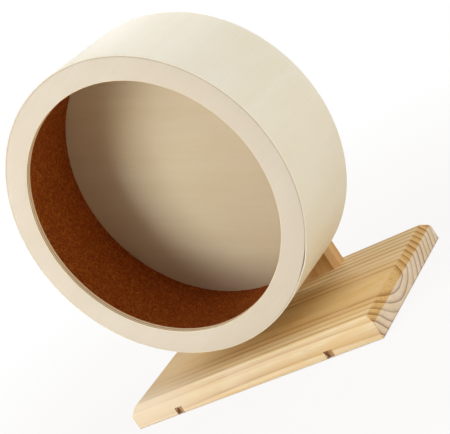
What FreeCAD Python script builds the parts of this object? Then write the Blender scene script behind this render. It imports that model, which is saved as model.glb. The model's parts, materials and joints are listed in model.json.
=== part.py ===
import FreeCAD, Part
import math
import os

# Rodent exercise wheel: a cork-lined plywood drum turning on ball bearings in a pine stand.
# Millimetres. The origin is the middle of the base's underside, +Z is up,
# -Y is the open front of the drum and +Y is the upright behind it.

# Drum
drum_radius = 100.0
drum_depth = 74.0
wall_thickness = 0.8
wall_ease = 0.2
ring_width = 14.85
ring_thickness = 4.0
disc_thickness = 4.0
cork_thickness = 3.5
edge_break = 0.4
glue_gap = 0.05

# Pine stand
base_length = 196.5
base_thickness = 15.0
base_chamfer = 4.8
base_round = 3.0
base_arris = 0.5
front_ledge = 12.5
drum_ground_gap = 9.5
upright_width = 70.0
upright_above_axle = 32.0
upright_corner_radius = 15.0
upright_chamfer = 3.5

# Strips let into the base's underside
groove_width = 6.0
groove_depth = 5.0
groove_offset = 60.5
strip_setback = 2.5

# Axle, hub and what is threaded on the axle
axle_radius = 3.0
axle_fit = 0.02
bolt_head_wall = 2.0
bolt_head_height = 4.0
bolt_end_chamfer = 0.8
bolt_overhang = 2.5
hub_radius = 25.0
hub_floor = 5.9
pocket_clearance = 0.1
hub_spacer_length = 4.0
sleeve_wall = 1.8
washer_thickness = 1.6
nut_wall = 2.0
nut_hex_height = 4.0
nut_collar_height = 2.0
nut_collar_step = 0.3
nut_collar_wall = 0.9
nut_insert_height = 1.4

# Ball bearings
ball_radius = 1.75
ball_count = 7
race_wall = 1.5
race_shoulder = 0.5
ball_clearance = 0.04
cage_wall = 0.5
cage_web = 0.35
cage_lip = 0.9
pocket_play = 0.1
cage_running_gap = 0.3
shield_thickness = 0.3
shield_recess = 0.2
shield_seat = 0.4
shield_gap = 0.15
bearing_spacing = 3.0
bearing_lip = 1.8
bearing_fit = 0.02

# Wood screws and dowels
hub_screw_count = 4
hub_screw_edge = 8.0
hub_screw_radius = 1.5
hub_screw_head_radius = 3.0
hub_screw_tip_cover = 1.5
stand_screw_radius = 2.0
stand_screw_head_radius = 4.0
stand_screw_in_upright = 30.0
screw_point_length = 3.0
screw_rim = 0.3
screw_fit = 0.03
recess_margin = 1.6
recess_width = 0.9
dowel_radius = 4.0
dowel_base_cover = 5.0
dowel_in_upright = 20.0
dowel_chamfer = 0.8
dowel_fit = 0.03
stand_fastening_count = 4

# Bearing and axle sizes that follow from those above
pitch_radius = axle_radius + race_wall + ball_radius
bearing_radius = pitch_radius + ball_radius + race_wall
inner_race_radius = pitch_radius - ball_radius + race_shoulder
outer_race_bore = pitch_radius + ball_radius - race_shoulder
shield_depth = shield_recess + shield_thickness
shield_radius = outer_race_bore + shield_seat
cage_depth = ball_radius + pocket_play + cage_web
bearing_width = 2 * (cage_depth + cage_running_gap + shield_depth)
sleeve_radius = min(axle_radius + sleeve_wall, inner_race_radius)
shank_radius = axle_radius - axle_fit
bolt_head_flats = 2 * (axle_radius + bolt_head_wall)
nut_flats = 2 * (axle_radius + nut_wall)
nut_collar_radius = axle_radius + nut_wall - nut_collar_step
nut_insert_radius = nut_collar_radius - nut_collar_wall

# Drum and stand sizes that follow from those above
drum_inner_radius = drum_radius - wall_thickness
inlay_radius = drum_inner_radius - glue_gap
upright_thickness = 2 * bearing_width + bearing_spacing
pocket_depth = bolt_head_height + pocket_clearance
hub_thickness = pocket_depth + hub_floor
hub_screw_length = hub_thickness + disc_thickness - hub_screw_tip_cover
stand_screw_length = base_thickness + stand_screw_in_upright
axle_height = base_thickness + drum_ground_gap + drum_radius
base_edge_reach = base_chamfer + base_round * math.tan(math.radians(22.5))
base_depth = (front_ledge + drum_depth + hub_thickness + hub_spacer_length
              + upright_thickness + base_edge_reach)

# Stations along the axle, from the front of the drum to the end of the bolt
front_y = -base_depth / 2 + front_ledge
disc_y = front_y + drum_depth - disc_thickness
hub_y = front_y + drum_depth
spacer_y = hub_y + hub_thickness
upright_y = spacer_y + hub_spacer_length
rear_bearing_y = upright_y + bearing_width + bearing_spacing
washer_y = upright_y + upright_thickness
nut_y = washer_y + washer_thickness
collar_y = nut_y + nut_hex_height
nut_end_y = collar_y + nut_collar_height
bolt_end_y = nut_end_y + bolt_overhang

origin = FreeCAD.Vector(0, 0, 0)
sideways = FreeCAD.Vector(1, 0, 0)
along_axle = FreeCAD.Vector(0, 1, 0)
upwards = FreeCAD.Vector(0, 0, 1)
full_turn = 360.0
quarter_turn = full_turn / 4
hexagon_sides = 6


def on_axle(y):
    """A point on the axle's centre line."""
    return FreeCAD.Vector(0, y, axle_height)


def round_axle(y, radius, count, start_angle):
    """Points spaced evenly on a circle round the axle."""
    points = []
    for step in range(count):
        angle = math.radians(start_angle + full_turn * step / count)
        points.append(on_axle(y) + FreeCAD.Vector(math.cos(angle), 0, math.sin(angle)) * radius)
    return points


def rod(radius, y, length):
    """A solid cylinder on the axle."""
    return Part.makeCylinder(radius, length, on_axle(y), along_axle)


def tube(outer, inner, y, length):
    """A hollow cylinder on the axle."""
    return rod(outer, y, length).cut(rod(inner, y, length))


def polygon_face(points):
    return Part.Face(Part.makePolygon(points + points[:1]))


def turned_upright(profile):
    """A solid turned about the vertical through the origin from (radius, height) points."""
    points = [FreeCAD.Vector(radius, 0, height) for radius, height in profile]
    return polygon_face(points).revolve(origin, upwards, full_turn)


def turned_on_axle(profile):
    """A solid turned about the axle from (radius, station) points."""
    points = [on_axle(y) + sideways * radius for radius, y in profile]
    return polygon_face(points).revolve(on_axle(0), along_axle, full_turn)


def copies_at(shape, places):
    """Copies of one shape, moved to each place."""
    moved = []
    for place in places:
        copy = shape.copy()
        copy.translate(place)
        moved.append(copy)
    return moved


def hexagon(flats, y, height):
    """A six-sided prism on the axle, by its distance across the flats."""
    corner_radius = flats / 2 / math.cos(math.pi / hexagon_sides)
    corners = round_axle(y, corner_radius, hexagon_sides, 0)
    return polygon_face(corners).extrude(along_axle * height)


def fastener_hexagon(flats, y, height):
    """A hexagon whose corners are turned down at both ends."""
    flat_radius = flats / 2
    corner_radius = flat_radius / math.cos(math.pi / hexagon_sides)
    slope = (corner_radius - flat_radius) * math.tan(math.pi / hexagon_sides)
    turned = turned_on_axle([(0, y), (flat_radius, y), (corner_radius, y + slope),
                             (corner_radius, y + height - slope), (flat_radius, y + height),
                             (0, y + height)])
    return hexagon(flats, y, height).common(turned)


def screw_profile(length, radius, head_radius, fit=0):
    """Outline of a countersunk screw that stands head down on the origin."""
    head_height = screw_rim + head_radius - radius
    return [(0, 0), (head_radius + fit, 0), (head_radius + fit, screw_rim), (radius + fit, head_height),
            (radius + fit, length - screw_point_length), (0, length + fit)]


def wood_screw(length, radius, head_radius):
    """A countersunk screw with a cross recess in its head."""
    screw = turned_upright(screw_profile(length, radius, head_radius))
    arm = head_radius - recess_margin
    depth = head_radius - radius
    slot = Part.makeBox(2 * arm, recess_width, depth, FreeCAD.Vector(-arm, -recess_width / 2, 0))
    crossing_slot = slot.copy()
    crossing_slot.rotate(origin, upwards, quarter_turn)
    return screw.cut(slot.fuse(crossing_slot))


def screw_hole(length, radius, head_radius):
    """The hole that a countersunk screw leaves in wood."""
    return turned_upright(screw_profile(length, radius, head_radius, screw_fit))


def drum_wall():
    """Thin plywood bent round the ring and the disc, with both ends eased."""
    return turned_on_axle([(drum_inner_radius, front_y), (drum_radius - wall_ease, front_y),
                           (drum_radius, front_y + wall_ease), (drum_radius, hub_y - wall_ease),
                           (drum_radius - wall_ease, hub_y), (drum_inner_radius, hub_y)])


def front_ring():
    """Plywood ring let into the front of the drum wall, with its two front edges eased."""
    opening = inlay_radius - ring_width
    back_y = front_y + ring_thickness
    return turned_on_axle([(opening + edge_break, front_y), (inlay_radius - edge_break, front_y),
                           (inlay_radius, front_y + edge_break), (inlay_radius, back_y),
                           (opening, back_y), (opening, front_y + edge_break)])


def back_disc():
    """Plywood disc that closes the back of the drum and hides the bolt's head."""
    return rod(inlay_radius, disc_y, disc_thickness).cut(hub_screw_holes())


def cork_lining():
    """Running track of sheet cork between the ring and the disc."""
    start = front_y + ring_thickness + glue_gap
    return tube(inlay_radius, inlay_radius - cork_thickness, start, disc_y - glue_gap - start)


def hub_block():
    """Round wooden hub behind the disc, with a six-sided pocket for the bolt's head."""
    hub = turned_on_axle([(0, hub_y), (hub_radius, hub_y), (hub_radius, spacer_y - edge_break),
                          (hub_radius - edge_break, spacer_y), (0, spacer_y)])
    pocket = hexagon(bolt_head_flats + 2 * pocket_clearance, hub_y, pocket_depth)
    bore = rod(axle_radius + pocket_clearance, hub_y, hub_thickness)
    return hub.cut(pocket).cut(bore).cut(hub_screw_holes())


def on_hub(standing_screw):
    """A standing screw shape turned to point forward and copied round the back of the hub."""
    pointing = standing_screw.copy()
    pointing.rotate(origin, sideways, quarter_turn)
    circle_radius = hub_radius - hub_screw_edge
    places = round_axle(spacer_y, circle_radius, hub_screw_count, full_turn / 8)
    return Part.makeCompound(copies_at(pointing, places))


def hub_screws():
    return on_hub(wood_screw(hub_screw_length, hub_screw_radius, hub_screw_head_radius))


def hub_screw_holes():
    return on_hub(screw_hole(hub_screw_length, hub_screw_radius, hub_screw_head_radius))


def axle_bolt():
    """Hexagon-headed bolt that turns with the drum."""
    seat_y = hub_y + pocket_depth
    head = fastener_hexagon(bolt_head_flats, seat_y - bolt_head_height, bolt_head_height)
    shank = turned_on_axle([(0, seat_y), (shank_radius, seat_y),
                            (shank_radius, bolt_end_y - bolt_end_chamfer),
                            (shank_radius - bolt_end_chamfer, bolt_end_y), (0, bolt_end_y)])
    return head.fuse(shank)


def sleeve(y, length):
    """A spacer or washer that bears only on an inner race."""
    return tube(sleeve_radius, axle_radius, y, length)


def lock_nut():
    """Nut with a round collar that grips a plastic ring."""
    collar = turned_on_axle([(0, collar_y), (nut_collar_radius, collar_y),
                             (nut_collar_radius, nut_end_y - nut_collar_step),
                             (nut_collar_radius - nut_collar_step, nut_end_y), (0, nut_end_y)])
    body = fastener_hexagon(nut_flats, nut_y, nut_hex_height).fuse(collar)
    bore = rod(axle_radius, nut_y, nut_end_y - nut_y)
    recess = rod(nut_insert_radius, collar_y, nut_collar_height)
    return body.cut(bore).cut(recess)


def nut_insert():
    """Plastic ring in the nut's collar."""
    return tube(nut_insert_radius, axle_radius, collar_y, nut_insert_height)


def raceway(y):
    """The ring-shaped space that the balls run in."""
    middle = on_axle(y + bearing_width / 2)
    return Part.makeTorus(pitch_radius, ball_radius + ball_clearance, middle, along_axle)


def inner_race(y):
    return tube(inner_race_radius, axle_radius, y, bearing_width).cut(raceway(y))


def outer_race(y):
    """Outer race with a step at each end that seats a shield."""
    race = tube(bearing_radius, outer_race_bore, y, bearing_width).cut(raceway(y))
    front_step = rod(shield_radius, y, shield_depth)
    back_step = rod(shield_radius, y + bearing_width - shield_depth, shield_depth)
    return race.cut(front_step).cut(back_step)


def shields(y):
    """The two thin dust shields of one bearing."""
    inner = inner_race_radius + shield_gap
    front = tube(shield_radius, inner, y + shield_recess, shield_thickness)
    back = tube(shield_radius, inner, y + bearing_width - shield_depth, shield_thickness)
    return Part.makeCompound([front, back])


def spheres(y, radius):
    """A ring of spheres where the balls of one bearing are."""
    places = round_axle(y + bearing_width / 2, pitch_radius, ball_count, quarter_turn)
    return Part.makeCompound([Part.makeSphere(radius, place) for place in places])


def cage(y):
    """Crown cage: a ring with a pocket for each ball, open on one side."""
    ring = tube(pitch_radius + cage_wall, pitch_radius - cage_wall,
                y + bearing_width / 2 - cage_depth, cage_depth + cage_lip)
    return ring.cut(spheres(y, ball_radius + pocket_play))


def stand_fastenings():
    """Places of the row of fastenings under the upright, from left to right."""
    pitch = upright_width / (stand_fastening_count + 1)
    middle = (stand_fastening_count - 1) / 2
    row_y = upright_y + upright_thickness / 2
    return [FreeCAD.Vector((step - middle) * pitch, row_y, 0) for step in range(stand_fastening_count)]


def at_row_ends(screw):
    """A screw shape at each end of the row of fastenings."""
    row = stand_fastenings()
    return Part.makeCompound(copies_at(screw, [row[0], row[-1]]))


def upright_screws():
    return at_row_ends(wood_screw(stand_screw_length, stand_screw_radius, stand_screw_head_radius))


def upright_screw_holes():
    return at_row_ends(screw_hole(stand_screw_length, stand_screw_radius, stand_screw_head_radius))


def upright_dowels(fit=0):
    """Dowels between the screws, or with a fit the holes for them."""
    low = dowel_base_cover - fit
    high = base_thickness + dowel_in_upright + fit
    radius = dowel_radius + fit
    dowel = turned_upright([(0, low), (radius - dowel_chamfer, low), (radius, low + dowel_chamfer),
                            (radius, high - dowel_chamfer), (radius - dowel_chamfer, high), (0, high)])
    return Part.makeCompound(copies_at(dowel, stand_fastenings()[1:-1]))


def base_board():
    """Pine board with softly bevelled top edges, cross grooves below and holes for the fastenings."""
    corner = FreeCAD.Vector(-base_length / 2, -base_depth / 2, 0)
    board = Part.makeBox(base_length, base_depth, base_thickness, corner)
    top_edges = [edge for edge in board.Edges if edge.BoundBox.ZMin > base_thickness / 2]
    board = board.makeChamfer(base_chamfer, top_edges)
    bevel_foot = base_thickness - base_chamfer
    bevel_edges = [edge for edge in board.Edges
                   if edge.BoundBox.ZMin > bevel_foot - base_arris and edge.BoundBox.ZLength < base_arris]
    board = board.makeFillet(base_round, bevel_edges)
    foot_edges = [edge for edge in board.Edges if edge.BoundBox.ZMin < base_arris]
    board = board.makeFillet(base_arris, foot_edges)
    for x in (-groove_offset, groove_offset):
        corner = FreeCAD.Vector(x - groove_width / 2, -base_depth / 2, 0)
        board = board.cut(Part.makeBox(groove_width, base_depth, groove_depth, corner))
    return board.cut(upright_screw_holes()).cut(upright_dowels(dowel_fit))


def cross_strip(x):
    """Strip across the grain, glued into its groove and set back from the board's edges."""
    length = base_depth - 2 * strip_setback
    corner = FreeCAD.Vector(x - groove_width / 2 + glue_gap, -length / 2, 0)
    return Part.makeBox(groove_width - 2 * glue_gap, length, groove_depth - glue_gap, corner)


def upright_board():
    """Standing board with rounded top corners and every edge above its foot chamfered."""
    corner = FreeCAD.Vector(-upright_width / 2, upright_y, base_thickness)
    height = axle_height + upright_above_axle - base_thickness
    board = Part.makeBox(upright_width, upright_thickness, height, corner)
    top_corners = [edge for edge in board.Edges
                   if edge.BoundBox.ZMin > axle_height and edge.BoundBox.YLength > upright_thickness / 2]
    board = board.makeFillet(upright_corner_radius, top_corners)
    long_edges = [edge for edge in board.Edges
                  if edge.BoundBox.ZMax > axle_height and edge.BoundBox.YLength < upright_thickness / 2]
    return board.makeChamfer(upright_chamfer, long_edges)


def upright():
    """Pine upright that stands on the base and holds both bearings."""
    seat_radius = bearing_radius + bearing_fit
    front_seat = rod(seat_radius, upright_y, bearing_width)
    rear_seat = rod(seat_radius, rear_bearing_y, bearing_width)
    through_hole = rod(bearing_radius - bearing_lip, upright_y, upright_thickness)
    board = upright_board().cut(front_seat).cut(rear_seat).cut(through_hole)
    return board.cut(upright_screw_holes()).cut(upright_dowels(dowel_fit))


def bearing(side, y):
    """The pieces of one ball bearing by their names."""
    return {
        side + "_inner_race": inner_race(y),
        side + "_outer_race": outer_race(y),
        side + "_shields": shields(y),
        side + "_balls": spheres(y, ball_radius),
        side + "_cage": cage(y),
    }


pieces = {
    "drum_wall": drum_wall(),
    "front_ring": front_ring(),
    "back_disc": back_disc(),
    "cork_lining": cork_lining(),
    "hub_block": hub_block(),
    "hub_screws": hub_screws(),
    "axle_bolt": axle_bolt(),
    "hub_spacer": sleeve(spacer_y, hub_spacer_length),
    "inner_spacer": sleeve(upright_y + bearing_width, bearing_spacing),
    "rear_washer": sleeve(washer_y, washer_thickness),
    "lock_nut": lock_nut(),
    "nut_insert": nut_insert(),
    "base_board": base_board(),
    "left_strip": cross_strip(-groove_offset),
    "right_strip": cross_strip(groove_offset),
    "upright": upright(),
    "upright_screws": upright_screws(),
    "upright_dowels": upright_dowels(),
}
pieces.update(bearing("front", upright_y))
pieces.update(bearing("rear", rear_bearing_y))

os.makedirs("parts", exist_ok=True)
for name, shape in pieces.items():
    shape.exportStep(os.path.join("parts", name + ".step"))
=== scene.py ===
import json
import math

import bpy
import numpy as np
from mathutils import Matrix, Quaternion, Vector, noise


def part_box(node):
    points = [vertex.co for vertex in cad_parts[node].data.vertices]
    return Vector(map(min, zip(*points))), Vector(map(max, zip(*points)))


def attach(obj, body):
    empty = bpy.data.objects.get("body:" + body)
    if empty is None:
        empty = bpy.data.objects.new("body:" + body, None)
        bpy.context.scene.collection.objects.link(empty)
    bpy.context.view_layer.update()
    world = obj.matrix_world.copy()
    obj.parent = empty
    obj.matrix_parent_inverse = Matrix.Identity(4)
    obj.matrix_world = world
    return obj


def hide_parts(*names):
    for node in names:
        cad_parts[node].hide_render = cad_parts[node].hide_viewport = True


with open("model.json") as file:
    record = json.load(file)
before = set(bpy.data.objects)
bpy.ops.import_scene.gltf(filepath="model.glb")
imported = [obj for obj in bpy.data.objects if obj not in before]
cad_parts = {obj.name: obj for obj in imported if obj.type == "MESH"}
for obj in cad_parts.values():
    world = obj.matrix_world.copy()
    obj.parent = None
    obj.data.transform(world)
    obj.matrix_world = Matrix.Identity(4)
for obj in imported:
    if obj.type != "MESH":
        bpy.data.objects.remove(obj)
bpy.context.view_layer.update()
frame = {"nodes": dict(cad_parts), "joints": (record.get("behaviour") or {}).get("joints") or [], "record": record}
nodes = frame["nodes"]

mm = 0.001

# The photograph's view
image_width_px = 450
focal_length_px = 1300.6
sensor_width_mm = 36.0
view_azimuth = math.radians(35.30)
view_elevation = math.radians(11.68)
view_roll = math.radians(33.76)
view_distance = 813.95 * mm
view_target = Vector((14.25, -6.08, 90.68)) * mm

# Light: each lamp's direction, distance, size and level, which is what it adds to a matt white face
# that looks straight at it
ambient_level = 0.04
ambient_colour = (1.0, 0.5, 0.22, 1.0)
white = (1.0, 1.0, 1.0, 1.0)
fill_distance = 1.7
fill_size = 1.1
lamps = {
    "key_lamp": ((-0.5, -0.87, 0.15), 1.2, 0.55, 0.62),
    "front_lamp": ((-0.2, -0.8, 0.7), fill_distance, fill_size, 0.14),
    "top_left_lamp": ((-0.5, -0.2, 0.9), fill_distance, fill_size, 0.24),
    "top_right_lamp": ((0.6, 0.2, 0.9), fill_distance, fill_size, 0.37),
    "side_lamp": ((1.0, -0.15, 0.1), fill_distance, fill_size, 0.44),
    "back_lamp": ((-0.3, 1.0, 0.5), fill_distance, fill_size, 0.32),
}
floor_half_width = 6.0
floor_drop = 0.1 * mm
floor_glow_near = 0.88
floor_fade_start = 0.12
floor_fade_end = 0.55
under_base_edge = 0.5 * mm

# Fine shape of the drum
turn_steps = 360
corner_steps = 4
sharp_angle = math.radians(40)
wall_ease = 0.15 * mm
ring_ease = 0.22 * mm
ring_mouth_ease = 0.5 * mm
wall_rows = 20
seam_depth = 0.25 * mm
seam_half_width = 0.3 * mm
gap_lift = 0.48 * mm
gap_turn = math.radians(132.5)
gap_half_turn = math.radians(4.5)
gap_reach = 14.0 * mm

# Cork crumbs
cork_turn_steps = 720
cork_rows = 76
cork_ease = 0.25 * mm
crumb_size = 1.2 * mm
crumb_height = 0.18 * mm
grains_per_crumb = 2.6

# Thread of the axle bolt
thread_pitch = 1.0 * mm
thread_depth = 0.55 * mm
thread_length = 17.0 * mm
thread_steps = 12
bolt_sides = 48
bolt_chamfer = 0.8 * mm
bolt_head_height = 4.0 * mm

# Plywood: the way its grain runs, and the line round its rim, partly glued joint and partly painted shade
ring_grain_turn = math.radians(20)
disc_grain_turn = math.radians(-24)
# Painted shade: the turn at which the rim line is strongest
glue_shade_turn = math.radians(72)
glue_and_shade_width = 0.3 * mm
glue_and_shade_fade = 0.2 * mm
rim_margin = 1.0 * mm

# Pine growth rings
year_width = 5.6 * mm
year_start = 0.06
heartwood_radius = 23 * mm
ring_ripple = 1.2 * mm
grain_wave = 260 * mm
grain_sway = 0.8 * mm
# Painted sheen: the stretch from the true end over which the far end turns paler
sheen_start = 100 * mm
sheen_end = 190 * mm
base_pith_across = -15.5 * mm
base_pith_height = 34.7 * mm
upright_pith_across = 6.0 * mm
upright_pith_behind = 27.5 * mm


# Colours

def srgb(red, green, blue):
    """A colour written in 0 to 255 as shader values."""
    shares = [value / 255 for value in (red, green, blue)]
    return [s / 12.92 if s <= 0.04045 else ((s + 0.055) / 1.055) ** 2.4 for s in shares] + [1.0]


def grey(level):
    """A grey given as a shader value."""
    return (level, level, level, 1.0)


floor_colour = srgb(228, 218, 200)

ring_pale, ring_warm = srgb(225, 217, 203), srgb(221, 211, 193)
disc_pale, disc_warm = srgb(226, 215, 185), srgb(219, 205, 170)
ply_fibre = srgb(206, 184, 148)
ply_dark_line = srgb(156, 124, 84)
ply_front, ply_middle = srgb(252, 238, 208), srgb(190, 150, 100)
ply_back, ply_back_face = srgb(253, 234, 198), srgb(252, 230, 190)
ply_saw_mark = srgb(196, 150, 102)
# Paler sanded wood on the eased edges, partly a painted highlight
ply_sanded_arris_and_highlight = srgb(246, 231, 198)
# Colour of the rim line: partly glued joint, partly painted shade along the seam
ply_glue_and_shade = srgb(156, 150, 138)

wall_pale, wall_warm, wall_fibre = srgb(248, 244, 228), srgb(244, 238, 216), srgb(221, 204, 174)
wall_edge_glue = srgb(190, 182, 166)
wall_edge_inner, wall_edge_outer = srgb(236, 227, 207), srgb(238, 228, 207)
wall_edge_middle = srgb(228, 215, 190)
wall_edge_skin, wall_edge_face = srgb(242, 234, 217), srgb(245, 239, 223)

cork_dark, cork_brown = srgb(119, 53, 9), srgb(156, 76, 15)
cork_red, cork_light = srgb(176, 92, 22), srgb(203, 123, 42)
cork_joint, cork_bark = srgb(108, 48, 12), srgb(96, 42, 12)

pine_early, pine_late = srgb(242, 225, 188), srgb(178, 116, 50)
pine_streak, pine_fibre, pine_duct = srgb(214, 170, 108), srgb(216, 172, 112), srgb(170, 116, 64)
pine_warm_cloud, pine_cool_cloud = srgb(232, 196, 134), srgb(240, 221, 196)
# Painted shade: the flat tint makes the flat faces, the base's top among them, yellower and a little darker
# The heart tint is partly painted shade: it darkens the middle of the board, which on the base lies under the
# wheel
pine_flat_shade_tint, pine_heart_and_shade_tint = srgb(253, 246, 226), srgb(224, 196, 142)
# Painted sheen towards the board's far end
pine_far_sheen = srgb(240, 224, 198)
bevel_early, bevel_late, bevel_pore = srgb(236, 202, 138), srgb(150, 86, 24), srgb(182, 122, 50)
end_pale, end_warm = srgb(246, 230, 209), srgb(239, 221, 190)
end_late, end_pore = srgb(140, 92, 58), srgb(176, 140, 104)
# The upright's tint is painted shade: its pine is darker and more orange than the base's
base_tint, upright_shade_tint = srgb(255, 255, 255), srgb(238, 217, 191)

beech_ray = srgb(150, 98, 58)
strip_pale, strip_dark = srgb(212, 174, 128), srgb(182, 140, 94)
dowel_pale, dowel_dark = srgb(222, 188, 146), srgb(202, 164, 120)
hub_pale, hub_dark = srgb(228, 198, 158), srgb(210, 174, 130)

zinc_pale, zinc_dull = srgb(206, 208, 210), srgb(176, 178, 180)
bearing_pale, bearing_dull = srgb(190, 191, 194), srgb(164, 165, 168)
nylon_pale, nylon_cloud = srgb(232, 229, 216), srgb(214, 209, 190)


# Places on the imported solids

axle = Vector(next(j["pos_m"] for j in frame["joints"] if j["name"] == "wheel_spin"))


def corner_reach(node, behind=-math.inf):
    """Distances from the axle of a node's corners that lie behind a depth."""
    corners = np.array([v.co for v in nodes[node].data.vertices])
    corners = corners[corners[:, 1] > behind]
    return np.hypot(corners[:, 0] - axle.x, corners[:, 2] - axle.z)


def radial_range(node):
    """Least and greatest distance from the axle of a node's corners."""
    reach = corner_reach(node)
    return reach.min(), reach.max()


wall_inner, wall_outer = radial_range("drum_wall")
ring_inner, ring_outer = radial_range("front_ring")
cork_inner, cork_outer = radial_range("cork_lining")
wall_front, wall_back = (corner.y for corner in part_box("drum_wall"))
ring_front, ring_back = (corner.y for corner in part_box("front_ring"))
disc_front, disc_back = (corner.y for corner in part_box("back_disc"))
cork_front, cork_back = (corner.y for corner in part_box("cork_lining"))
bolt_front, bolt_end = (corner.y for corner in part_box("axle_bolt"))


# Mesh helpers

def grid_piece(name, points, close_ends=False):
    """A piece from rows of points. Each row is a closed loop.

    The rows close on each other, unless the first and last get end caps.
    """
    rows, columns = points.shape[:2]
    index = np.arange(rows * columns).reshape(rows, columns)
    ahead = np.roll(index, -1, axis=1)
    pairs = zip(index[:-1], ahead[:-1], ahead[1:], index[1:])
    if not close_ends:
        pairs = zip(index, ahead, np.roll(ahead, -1, axis=0), np.roll(index, -1, axis=0))
    faces = [quad for strip in pairs for quad in np.stack(strip, axis=1).tolist()]
    if close_ends:
        faces += [index[0][::-1].tolist(), index[-1].tolist()]
    mesh = bpy.data.meshes.new(name)
    mesh.from_pydata(points.reshape(-1, 3).tolist(), [], faces)
    mesh.shade_smooth()
    mesh.set_sharp_from_angle(angle=sharp_angle)
    piece = bpy.data.objects.new(name, mesh)
    bpy.context.scene.collection.objects.link(piece)
    return piece


def even_turns(count):
    """Turns all the way round, starting under the axle."""
    return np.linspace(-math.pi, math.pi, count, endpoint=False)


def round_axle(turn, radius, depth):
    """Points at a turn from the top towards +X, a distance from the axle and a depth along it."""
    across = axle.x + radius * np.sin(turn)
    height = axle.z + radius * np.cos(turn)
    return np.stack(np.broadcast_arrays(across, depth, height), axis=-1)


def eased_section(inner, outer, front, back, eases, inner_rows=0, outer_rows=0):
    """Loop of (radius, depth) pairs round a rectangle, its inner and outer sides divided.

    The eases round its corners: front inner, front outer, back outer and back inner.
    """
    corners = [(inner, front, 1, 1), (outer, front, -1, 1), (outer, back, -1, -1), (inner, back, 1, -1)]
    arcs = []
    for corner, ((radius, depth, inward, backward), ease) in enumerate(zip(corners, eases)):
        turns = np.radians(180 + 90 * (corner + np.linspace(0, 1, corner_steps + 1)))
        arc_radius = radius + ease * (inward + np.cos(turns))
        arc_depth = depth + ease * (backward + np.sin(turns))
        arcs.append(np.stack([arc_radius, arc_depth], axis=1))
    loop = []
    for arc, following, count in zip(arcs, arcs[1:] + arcs[:1], (0, outer_rows, 0, inner_rows)):
        loop += [arc, np.linspace(arc[-1], following[0], count + 2)[1:-1]]
    return np.concatenate(loop)


def turned_piece(name, section, turns, shape=None):
    """A ring-shaped piece: the section swept round the axle, with its points moved by the shape.

    The section runs backwards, so that the faces look out of the piece.
    """
    turn = np.asarray(turns)[:, None]
    radius, depth = (np.broadcast_to(side, (len(turns), len(section))) for side in section[::-1].T)
    if shape:
        radius = shape(turn, radius, depth)
    return grid_piece(name, round_axle(turn, radius, depth))


def dress(piece, body, node, material):
    """The piece stands for a CAD node on a body."""
    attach(piece, body)
    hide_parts(node)
    piece.data.materials.append(material)


# Node helpers

class Nodes:
    """A node tree, with a short method for each kind of node that the script uses."""

    def __init__(self, tree):
        self.tree = tree
        self.tree.nodes.clear()

    def put(self, socket, value):
        if isinstance(value, bpy.types.NodeSocket):
            self.tree.links.new(value, socket)
        else:
            socket.default_value = value

    def add(self, kind, inputs=None, **settings):
        node = self.tree.nodes.new(kind)
        for key, value in settings.items():
            setattr(node, key, value)
        for key, value in (inputs or {}).items():
            self.put(node.inputs[key], value)
        return node

    def math(self, operation, *values):
        return self.add("ShaderNodeMath", dict(enumerate(values)), operation=operation).outputs[0]

    def length(self, first, second):
        squares = self.math("MULTIPLY_ADD", first, first, self.math("MULTIPLY", second, second))
        return self.math("SQRT", squares)

    def split(self, vector):
        return self.add("ShaderNodeSeparateXYZ", {0: vector}).outputs

    def join(self, *parts):
        return self.add("ShaderNodeCombineXYZ", dict(enumerate(parts))).outputs[0]

    def noise(self, vector, scale=1.0, detail=2.0, roughness=0.5, distortion=0.0):
        values = {"Vector": vector, "Scale": scale, "Detail": detail}
        values.update({"Roughness": roughness, "Distortion": distortion})
        return self.add("ShaderNodeTexNoise", values).outputs["Fac"]

    def grain(self, board, along, across, **settings):
        """Noise with so many waves per metre along the board's first axis and across it."""
        stretch = {0: board, 1: (along, across, across)}
        stretched = self.add("ShaderNodeVectorMath", stretch, operation="MULTIPLY").outputs[0]
        return self.noise(stretched, **settings)

    def cells(self, vector, scale, feature="F1"):
        return self.add("ShaderNodeTexVoronoi", {"Vector": vector, "Scale": scale}, feature=feature).outputs

    def levels(self, value, low, high, to_low=0.0, to_high=1.0):
        values = {"Value": value, "From Min": low, "From Max": high, "To Min": to_low, "To Max": to_high}
        return self.add("ShaderNodeMapRange", values, interpolation_type="SMOOTHSTEP").outputs["Result"]

    def blend(self, amount, first, second, mode="MIX"):
        node = self.add("ShaderNodeMix", {0: amount, 6: first, 7: second}, data_type="RGBA", blend_type=mode)
        return node.outputs[2]

    def ramp(self, amount, *stops):
        node = self.add("ShaderNodeValToRGB", {0: amount})
        elements = node.color_ramp.elements
        for place, colour in stops[1:-1]:
            elements.new(place).color = colour
        elements[0].position, elements[0].color = stops[0]
        elements[-1].position, elements[-1].color = stops[-1]
        return node.outputs[0]


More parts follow.
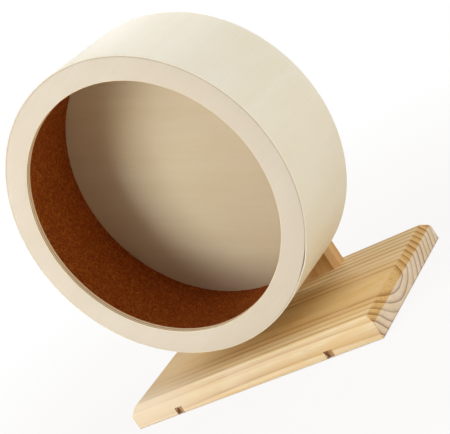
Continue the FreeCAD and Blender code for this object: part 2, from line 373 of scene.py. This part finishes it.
class Finish(Nodes):
    """A material of one shader, with a shaded point's place and direction in the part's frame."""

    def __init__(self, name, shader_values):
        self.material = bpy.data.materials.new(name)
        self.material.use_nodes = True
        super().__init__(self.material.node_tree)
        self.shader = self.add("ShaderNodeBsdfPrincipled", shader_values)
        self.add("ShaderNodeOutputMaterial", {"Surface": self.shader.outputs["BSDF"]})
        source = self.add("ShaderNodeTexCoord")
        self.place = source.outputs["Object"]
        self.normal = source.outputs["Normal"]
        self.bump = self.add("ShaderNodeBump")
        self.put(self.shader.inputs["Normal"], self.bump.outputs[0])

    def from_axle(self):
        """Turn from the top, distance from the axle and depth of a shaded point."""
        across, depth, height = self.split(self.place)
        rise = self.math("SUBTRACT", height, axle.z)
        return self.math("ARCTAN2", across, rise), self.length(across, rise), depth

    def along_board(self, order):
        """A shaded point's place on the axes that the order names, the grain's first."""
        axes = dict(zip("xyz", self.split(self.place)))
        return [axes[letter] for letter in order]

    def facing(self, letter):
        """How squarely a face looks along an axis, from 0 to 1."""
        return self.math("ABSOLUTE", self.split(self.normal)["xyz".index(letter)])

    def finish(self, colour, roughness, height, bump_distance, bump_strength):
        self.put(self.shader.inputs["Base Color"], colour)
        self.put(self.shader.inputs["Roughness"], roughness)
        self.put(self.bump.inputs["Height"], height)
        self.put(self.bump.inputs["Distance"], bump_distance)
        self.put(self.bump.inputs["Strength"], bump_strength)
        return self.material


# Plywood

def veneer(m, sheet, pale, warm, line):
    """Colour and relief of a peeled veneer, with its grain along the first axis of the sheet."""
    bands = m.grain(sheet, 6, 75, detail=3, distortion=0.5)
    patches = m.grain(sheet, 9, 16)
    fibres = m.grain(sheet, 45, 1300, detail=3, roughness=0.6)
    flecks = m.grain(sheet, 170, 2400, detail=1)
    tone = m.math("ADD", m.levels(bands, 0.35, 0.7, 0, 0.4), m.levels(patches, 0.35, 0.7, 0, 0.6))
    colour = m.blend(tone, pale, warm)
    colour = m.blend(m.levels(fibres, 0.45, 0.8, 0, 0.14), colour, line)
    colour = m.blend(m.levels(flecks, 0.64, 0.78, 0, 0.16), colour, line)
    return colour, m.math("SUBTRACT", fibres, m.levels(flecks, 0.64, 0.78))


def sawn_edge(m, share, turn, reach, depth):
    """The three plies on a cut edge, front to back, with saw marks."""
    edge = m.ramp(share, (0.13, ply_dark_line), (0.19, ply_front), (0.42, ply_front), (0.47, ply_middle),
                  (0.55, ply_middle), (0.6, ply_back), (1.0, ply_back_face))
    around, through = m.math("MULTIPLY", turn, 260.0), m.math("MULTIPLY", depth, 500.0)
    saw = m.noise(m.join(around, through, reach), detail=3)
    return m.blend(m.levels(saw, 0.45, 0.8, 0, 0.2), edge, ply_saw_mark)


def rim_glue_and_shade(m, turn, reach, rim):
    """How much of the rim line shows: partly glued joint, partly painted shade along the seam, most on one side of
    the drum.
    """
    smear = m.levels(m.grain(m.place, 40, 40), 0.35, 0.65, 0.7, 1.0)
    around = m.math("COSINE", m.math("SUBTRACT", turn, glue_shade_turn))
    glue_and_shade = m.math("MULTIPLY", smear, m.levels(around, -1.0, 1.0, 0.0, 0.5))
    return m.math("MULTIPLY", glue_and_shade, m.levels(reach, rim - glue_and_shade_width - glue_and_shade_fade, rim - glue_and_shade_width))


def plywood(name, front, back, rim, grain_turn, pale, warm):
    """Three-ply sheet seen on its face and its cut edge, with a line at its rim that is partly glued joint and
    partly painted shade.
    """
    m = Finish(name, {"Specular IOR Level": 0.06})
    turn, reach, depth = m.from_axle()
    angles = {"Vector": m.place, "Angle": grain_turn}
    turned = m.add("ShaderNodeVectorRotate", angles, rotation_type="Y_AXIS").outputs[0]
    along, through, across = m.split(turned)
    face, relief = veneer(m, m.join(along, across, through), pale, warm, ply_fibre)
    share = m.math("DIVIDE", m.math("SUBTRACT", depth, front), back - front)
    edge = sawn_edge(m, share, turn, reach, depth)
    squareness = m.facing("y")
    # Painted highlight along the eased edges, partly paler sanded wood
    sanded_arris_and_highlight = m.math("MULTIPLY", m.levels(squareness, 0.45, 0.6), m.levels(squareness, 0.99, 0.95))
    sanded_arris_and_highlight = m.math("MULTIPLY", sanded_arris_and_highlight, m.levels(reach, rim - rim_margin, rim - 2 * rim_margin))
    colour = m.blend(m.levels(squareness, 0.3, 0.5), edge, face)
    colour = m.blend(sanded_arris_and_highlight, colour, ply_sanded_arris_and_highlight)
    # Painted shade along the rim seam, mixed with the glued joint
    colour = m.blend(rim_glue_and_shade(m, turn, reach, rim), colour, ply_glue_and_shade)
    roughness = m.levels(relief, 0, 1, 0.62, 0.48)
    return m.finish(colour, roughness, relief, bump_distance=0.05 * mm, bump_strength=0.35)


def bent_plywood():
    """Thin sheet bent round the drum, smooth outside, with its grain along the axle."""
    m = Finish("bent_plywood", {"Specular IOR Level": 0.1})
    turn, reach, depth = m.from_axle()
    around = m.math("MULTIPLY", turn, wall_outer)
    face, relief = veneer(m, m.join(depth, around, 0.0), wall_pale, wall_warm, wall_fibre)
    share = m.math("DIVIDE", m.math("SUBTRACT", reach, wall_inner), wall_outer - wall_inner)
    edge = m.ramp(share, (0.0, wall_edge_glue), (0.2, wall_edge_inner), (0.38, wall_edge_outer),
                  (0.45, wall_edge_middle), (0.6, wall_edge_middle), (0.68, wall_edge_skin),
                  (1.0, wall_edge_face))
    colour = m.blend(m.levels(m.facing("y"), 0.5, 0.85), face, edge)
    roughness = m.levels(relief, 0, 1, 0.56, 0.42)
    return m.finish(colour, roughness, relief, bump_distance=0.04 * mm, bump_strength=0.3)


# Cork

def cork():
    """Pressed cork crumbs with dark bark between some of them."""
    m = Finish("cork", {"Specular IOR Level": 0.2})
    crumbs = m.cells(m.place, 1 / crumb_size)
    grains = m.cells(m.place, grains_per_crumb / crumb_size)
    joints = m.cells(m.place, 1 / crumb_size, "DISTANCE_TO_EDGE")
    dust = m.noise(m.place, 900.0, detail=3, roughness=0.7)
    crumb_tone = m.math("MULTIPLY", m.split(crumbs["Color"])[1], 0.55)
    tone = m.math("MULTIPLY_ADD", m.split(grains["Color"])[0], 0.45, crumb_tone)
    colour = m.ramp(tone, (0.1, cork_dark), (0.4, cork_brown), (0.7, cork_red), (0.95, cork_light))
    colour = m.blend(m.levels(joints["Distance"], 0.0, 0.1, 0.4, 0), colour, cork_joint)
    colour = m.blend(m.levels(dust, 0.6, 0.75, 0, 0.45), colour, cork_bark)
    height = m.math("MULTIPLY_ADD", dust, 0.5, m.math("MULTIPLY", joints["Distance"], 2.0))
    roughness = m.levels(dust, 0.3, 0.7, 0.75, 0.95)
    return m.finish(colour, roughness, height, bump_distance=0.25 * mm, bump_strength=0.7)


# Solid wood

def growth_rings(m, axes, board, pith_across, pith_height, true_end):
    """Distance from the pith, and the share of late wood, which differs from year to year."""
    along, across, height = axes
    wave = m.math("MULTIPLY", m.math("SUBTRACT", along, true_end), 2 * math.pi / grain_wave)
    sway = m.math("MULTIPLY", m.math("SINE", wave), grain_sway)
    sideways = m.math("ADD", m.math("SUBTRACT", across, pith_across), sway)
    radius = m.length(sideways, m.math("SUBTRACT", height, pith_height))
    ripple = m.grain(board, 1.2, 60)
    radius = m.math("MULTIPLY_ADD", ripple, 2 * ring_ripple, m.math("SUBTRACT", radius, ring_ripple))
    radius = m.math("MAXIMUM", radius, heartwood_radius)
    years = m.math("MULTIPLY_ADD", radius, 1 / year_width, year_start)
    late = m.ramp(m.math("FRACT", years), (0.0, grey(0.0)), (0.45, grey(0.04)), (0.78, grey(0.5)),
                  (0.92, grey(1.0)), (1.0, grey(0.05)))
    strength = m.noise(m.join(m.math("FLOOR", years), 4.2, 9.1), 0.83, detail=0)
    return radius, m.math("MULTIPLY", late, m.levels(strength, 0.25, 0.7, 0.6, 1.0))


def pine_along(m, board, late, fibres, flatness, contrast):
    """Colour of a face along the grain: streaks, fibres, ducts and clouds over the growth rings."""
    streaks = m.grain(board, 3, 330, detail=3)
    ducts = m.grain(board, 110, 2200, detail=1)
    clouds = m.grain(board, 22, 95, detail=3, distortion=0.6)
    soft_late = m.math("MULTIPLY", late, m.levels(flatness, 0.75, 1.0, 0.55 * contrast, contrast))
    colour = m.blend(soft_late, pine_early, pine_late)
    colour = m.blend(m.levels(streaks, 0.45, 0.75, 0, 0.4), colour, pine_streak)
    colour = m.blend(m.levels(fibres, 0.45, 0.8, 0, 0.25), colour, pine_fibre)
    colour = m.blend(m.levels(ducts, 0.66, 0.78, 0, 0.3), colour, pine_duct)
    colour = m.blend(m.levels(clouds, 0.5, 0.72, 0, 0.5), colour, pine_warm_cloud)
    colour = m.blend(m.levels(clouds, 0.5, 0.3, 0, 0.4), colour, pine_cool_cloud)
    # Painted shade on the flat faces, the base's top among them
    return m.blend(m.levels(flatness, 0.8, 1.0), colour, pine_flat_shade_tint, "MULTIPLY")


def pine_bevel(m, late, pores):
    """Colour of a face cut slantwise through the grain."""
    colour = m.blend(m.math("POWER", late, 0.6), bevel_early, bevel_late)
    return m.blend(m.levels(pores, 0.4, 0.7, 0, 0.55), colour, bevel_pore)


def pine_end(m, board, late, pores):
    """Colour of the end grain."""
    patches = m.grain(board, 60, 60)
    colour = m.blend(m.levels(patches, 0.35, 0.65), end_pale, end_warm)
    colour = m.blend(m.math("POWER", late, 1.3), colour, end_late)
    return m.blend(m.levels(pores, 0.5, 0.75, 0, 0.3), colour, end_pore)


def pine(name, order, pith_across, pith_height, true_end, contrast, tint, far_sheen=0.0):
    """Softwood with growth rings about a pith outside the board.

    The order names the board's axes, the grain's first. The grain runs straight at the true end.
    """
    m = Finish(name, {"Specular IOR Level": 0.06})
    axes = m.along_board(order)
    board = m.join(*axes)
    radius, late = growth_rings(m, axes, board, pith_across, pith_height, true_end)
    fibres = m.grain(board, 25, 900, detail=3, roughness=0.6)
    pores = m.grain(board, 300, 1500)
    squareness = m.facing(order[0])
    colour = pine_along(m, board, late, fibres, m.facing(order[2]), contrast)
    # Painted sheen: the long faces turn paler towards the end far from the true end
    from_end = m.math("ABSOLUTE", m.math("SUBTRACT", axes[0], true_end))
    colour = m.blend(m.levels(from_end, sheen_start, sheen_end, 0, far_sheen), colour, pine_far_sheen)
    # Heartwood tint, partly painted shade under the wheel on the base
    heart_and_shade = m.levels(radius, 1.1 * heartwood_radius, 1.9 * heartwood_radius, 0.44 * contrast, 0)
    colour = m.blend(heart_and_shade, colour, pine_heart_and_shade_tint, "MULTIPLY")
    colour = m.blend(m.levels(squareness, 0.12, 0.68), colour, pine_bevel(m, late, pores))
    colour = m.blend(m.levels(squareness, 0.74, 0.96), colour, pine_end(m, board, late, pores))
    # The tint is painted shade on the upright; the base's tint is white
    colour = m.blend(1.0, colour, tint, "MULTIPLY")
    relief = m.math("MULTIPLY_ADD", late, 0.5, m.math("MULTIPLY", fibres, 0.5))
    roughness = m.levels(late, 0, 1, 0.7, 0.55)
    return m.finish(colour, roughness, relief, bump_distance=0.06 * mm, bump_strength=0.5)


def hardwood(name, order, pale, dark):
    """Plain beech with short darker rays along its grain."""
    m = Finish(name, {"Specular IOR Level": 0.3})
    board = m.join(*m.along_board(order))
    bands = m.grain(board, 12, 160, detail=3)
    rays = m.grain(board, 240, 1700)
    colour = m.blend(m.levels(bands, 0.3, 0.7), pale, dark)
    colour = m.blend(m.levels(rays, 0.58, 0.72, 0, 0.6), colour, beech_ray)
    roughness = m.levels(rays, 0.3, 0.7, 0.6, 0.48)
    return m.finish(colour, roughness, rays, bump_distance=0.05 * mm, bump_strength=0.4)


# Metal and nylon

def metal(name, pale, dull, least_roughness, turning):
    """Bare or plated metal with a little tarnish and so many tool marks per metre round the axle."""
    m = Finish(name, {"Metallic": 1.0})
    turn, reach, depth = m.from_axle()
    outward, along = m.math("MULTIPLY", reach, turning), m.math("MULTIPLY", depth, turning)
    marks = m.noise(m.join(outward, along, turn), detail=3)
    stain = m.noise(m.place, 220.0, detail=4, roughness=0.65)
    colour = m.blend(m.levels(stain, 0.4, 0.72), pale, dull)
    tarnish = m.levels(stain, 0.4, 0.75, least_roughness, least_roughness + 0.16)
    roughness = m.math("ADD", m.levels(marks, 0.3, 0.7, -0.06, 0.06), tarnish)
    return m.finish(colour, roughness, marks, bump_distance=0.02 * mm, bump_strength=0.3)


def nylon():
    """Natural nylon, slightly cloudy."""
    m = Finish("nylon", {"Subsurface Weight": 0.1})
    cloud = m.noise(m.place, 350.0, detail=3)
    colour = m.blend(m.levels(cloud, 0.3, 0.7), nylon_pale, nylon_cloud)
    roughness = m.levels(cloud, 0.3, 0.7, 0.38, 0.5)
    return m.finish(colour, roughness, cloud, bump_distance=0.03 * mm, bump_strength=0.2)


# Drum wall

def wall_turns():
    """Even turns, with close ones at the butt seam under the drum."""
    beside = np.array([1, 3]) * seam_half_width / wall_outer
    away = even_turns(turn_steps)[2:-1]
    return np.sort(np.concatenate([away, [-math.pi], beside - math.pi, math.pi - beside]))


def wall_shape(turn, radius, depth):
    """The seam's groove in the outer face, and the stretch of front edge that has lifted off the ring."""
    from_seam = (math.pi - np.abs(turn)) * wall_outer / seam_half_width
    outside = radius > (wall_inner + wall_outer) / 2
    groove = seam_depth * np.clip(1 - from_seam, 0, 1) * outside
    lift = gap_lift * np.exp(-((turn - gap_turn) / gap_half_turn) ** 2)
    return radius - groove + lift * np.exp((wall_front - depth) / gap_reach)


def build_wall():
    """The bent wall, its edges eased."""
    eases = [wall_ease] * 4
    section = eased_section(wall_inner, wall_outer, wall_front, wall_back, eases, wall_rows, wall_rows)
    wall = turned_piece("bent_wall", section, wall_turns(), wall_shape)
    dress(wall, "wheel", "drum_wall", bent_plywood())


# Front ring

def build_ring():
    """The ring, its mouth rounded more than its other edges."""
    eases = (ring_mouth_ease, ring_ease, ring_ease, ring_ease)
    section = eased_section(ring_inner, ring_outer, ring_front, ring_back, eases)
    ring = turned_piece("ply_ring", section, even_turns(turn_steps))
    finish = plywood("ring_plywood", ring_front, ring_back, ring_outer, ring_grain_turn, ring_pale, ring_warm)
    dress(ring, "wheel", "front_ring", finish)


# Cork track

def cork_shape(turn, radius, depth):
    """Crumbs that stand out of the running face."""
    shaped = np.array(radius)
    facing = radius < cork_inner + cork_ease / 2
    points = round_axle(turn, radius, depth)
    for row, column in zip(*np.nonzero(facing)):
        crumb = Vector(points[row, column]) / crumb_size
        edge = noise.voronoi(crumb)[0]
        shaped[row, column] += crumb_height * (1 - min(1, 2 * (edge[1] - edge[0]))) * noise.cell(crumb)
    return shaped


def build_cork():
    """The running track between the ring and the disc."""
    section = eased_section(cork_inner, cork_outer, cork_front, cork_back, [cork_ease] * 4, cork_rows)
    track = turned_piece("cork_track", section, even_turns(cork_turn_steps), cork_shape)
    dress(track, "wheel", "cork_lining", cork())


# Axle bolt

def thread_row(turn, shank, depth, thread_start):
    """Points of the thread at one depth. It runs in over the first turn and is chamfered at the end."""
    phase = (depth / thread_pitch - turn / (2 * math.pi)) % 1
    groove = thread_depth * (1 - np.abs(2 * phase - 1)) * min(1, (depth - thread_start) / thread_pitch)
    end_limit = shank - max(0, bolt_chamfer - (bolt_end - depth))
    return round_axle(turn, np.minimum(shank - groove, end_limit), depth)


def bolt_points():
    """Rows of points from the bolt's six-sided head to its threaded end."""
    turn = np.linspace(0, 2 * math.pi, bolt_sides, endpoint=False)
    half_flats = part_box("axle_bolt")[1].z - axle.z
    head_reach = half_flats / np.cos((turn + math.pi / 6) % (math.pi / 3) - math.pi / 6)
    seat = bolt_front + bolt_head_height
    shank = corner_reach("axle_bolt", behind=seat + mm).max()
    thread_start = bolt_end - thread_length
    rows = [round_axle(turn, head_reach, bolt_front), round_axle(turn, head_reach, seat)]
    rows += [round_axle(turn, shank, seat), round_axle(turn, shank, thread_start - thread_pitch)]
    count = round(thread_length / thread_pitch * thread_steps)
    depths = np.linspace(thread_start, bolt_end, count + 1)
    rows += [thread_row(turn, shank, depth, thread_start) for depth in depths]
    return np.stack(rows)


def build_bolt(finish):
    """The bolt with its thread."""
    bolt = grid_piece("threaded_bolt", bolt_points(), close_ends=True)
    dress(bolt, "wheel", "axle_bolt", finish)


# CAD nodes that stay visible

def finish_nodes(by_slot):
    """A material for each node that stays, by its name or else by its slot."""
    base_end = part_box("base_board")[1].x
    upright_back, upright_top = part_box("upright")[1].yz
    strip_wood = hardwood("strip_wood", "yxz", strip_pale, strip_dark)
    by_name = {
        "base_board": pine("base_pine", "xyz", base_pith_across, base_pith_height, base_end,
                           contrast=1.0, tint=base_tint, far_sheen=0.8),
        "upright": pine("upright_pine", "zxy", upright_pith_across, upright_back + upright_pith_behind,
                        upright_top, contrast=0.55, tint=upright_shade_tint),
        "back_disc": plywood("disc_plywood", disc_front, disc_back, ring_outer, disc_grain_turn,
                             disc_pale, disc_warm),
        "left_strip": strip_wood,
        "right_strip": strip_wood,
        "upright_dowels": hardwood("dowel_wood", "zxy", dowel_pale, dowel_dark),
        "hub_block": hardwood("hub_wood", "xzy", hub_pale, hub_dark),
    }
    for subpart in frame["record"]["subparts"]:
        finish = by_name.get(subpart["node"]) or by_slot.get(subpart["material_slot"])
        if finish:
            nodes[subpart["node"]].data.materials.clear()
            nodes[subpart["node"]].data.materials.append(finish)


# Stage

def seen_directly(n):
    """1 for rays that see the background straight, in a mirror or through glass."""
    path = n.add("ShaderNodeLightPath").outputs
    through = n.math("MAXIMUM", path["Is Glossy Ray"], path["Is Transmission Ray"])
    return n.math("MAXIMUM", path["Is Camera Ray"], through)


def studio_world():
    """Even surroundings that look white."""
    world = bpy.data.worlds.new("studio")
    bpy.context.scene.world = world
    world.use_nodes = True
    n = Nodes(world.node_tree)
    ambient = n.add("ShaderNodeBackground", {"Color": ambient_colour, "Strength": ambient_level})
    backdrop = n.add("ShaderNodeBackground", {"Color": white})
    mix = n.add("ShaderNodeMixShader", {0: seen_directly(n), 1: ambient.outputs[0], 2: backdrop.outputs[0]})
    n.add("ShaderNodeOutputWorld", {"Surface": mix.outputs[0]})


def pale_floor():
    """Pale paper that fades to white round the part, keeps its shadow and is plain under it."""
    material = bpy.data.materials.new("pale_floor")
    material.use_nodes = True
    n = Nodes(material.node_tree)
    place = n.add("ShaderNodeTexCoord").outputs["Object"]
    across, deep, _ = (n.math("ABSOLUTE", part) for part in n.split(place))
    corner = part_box("base_board")[1]
    beside = n.math("MAXIMUM", n.math("SUBTRACT", across, corner.x), n.math("SUBTRACT", deep, corner.y))
    distance = n.length(across, deep)
    glow_share = n.levels(distance, floor_fade_start, floor_fade_end, floor_glow_near, 1.0)
    glow_share = n.math("MULTIPLY", glow_share, n.levels(beside, -under_base_edge, under_base_edge))
    paper = n.add("ShaderNodeBsdfDiffuse", {"Color": floor_colour})
    glow = n.add("ShaderNodeEmission", {"Color": white})
    seen = n.math("MULTIPLY", seen_directly(n), glow_share)
    mix = n.add("ShaderNodeMixShader", {0: seen, 1: paper.outputs[0], 2: glow.outputs[0]})
    n.add("ShaderNodeOutputMaterial", {"Surface": mix.outputs[0]})
    return material


def studio_floor():
    """Wide flat floor just under the base."""
    w = floor_half_width
    corners = [(-w, -w, -floor_drop), (w, -w, -floor_drop), (w, w, -floor_drop), (-w, w, -floor_drop)]
    mesh = bpy.data.meshes.new("floor")
    mesh.from_pydata(corners, [], [(0, 1, 2, 3)])
    mesh.materials.append(pale_floor())
    floor = bpy.data.objects.new("floor", mesh)
    bpy.context.scene.collection.objects.link(floor)


def lamp(name, direction, distance, size, level):
    """A soft square lamp that shines on the middle of the part."""
    light = bpy.data.lights.new(name, "AREA")
    light.energy = level * (math.pi * distance) ** 2
    light.size = size
    holder = bpy.data.objects.new(name, light)
    holder.location = axle + Vector(direction).normalized() * distance
    holder.rotation_mode = "QUATERNION"
    holder.rotation_quaternion = Vector(direction).to_track_quat("Z", "Y")
    holder.visible_camera = False
    bpy.context.scene.collection.objects.link(holder)


def photo_camera():
    """The camera at the photograph's view, rolled as the photograph is."""
    data = bpy.data.cameras.new("camera")
    data.sensor_width = sensor_width_mm
    data.lens = focal_length_px * sensor_width_mm / image_width_px
    camera = bpy.data.objects.new("camera", data)
    level = math.cos(view_elevation)
    back = Vector((math.sin(view_azimuth) * level, -math.cos(view_azimuth) * level, math.sin(view_elevation)))
    turn = back.to_track_quat("Z", "Y") @ Quaternion((0, 0, 1), -view_roll)
    camera.matrix_world = Matrix.Translation(view_target + back * view_distance) @ turn.to_matrix().to_4x4()
    bpy.context.scene.collection.objects.link(camera)
    bpy.context.scene.camera = camera


# The scene
zinc = metal("zinc_steel", zinc_pale, zinc_dull, least_roughness=0.28, turning=9000)
bearing = metal("bearing_steel", bearing_pale, bearing_dull, least_roughness=0.2, turning=14000)
build_wall()
build_ring()
build_cork()
build_bolt(zinc)
finish_nodes({"zinc_steel": zinc, "bearing_steel": bearing, "nylon": nylon()})
studio_world()
studio_floor()
for lamp_name, lamp_values in lamps.items():
    lamp(lamp_name, *lamp_values)
photo_camera()
bpy.context.scene.view_settings.view_transform = "Standard"
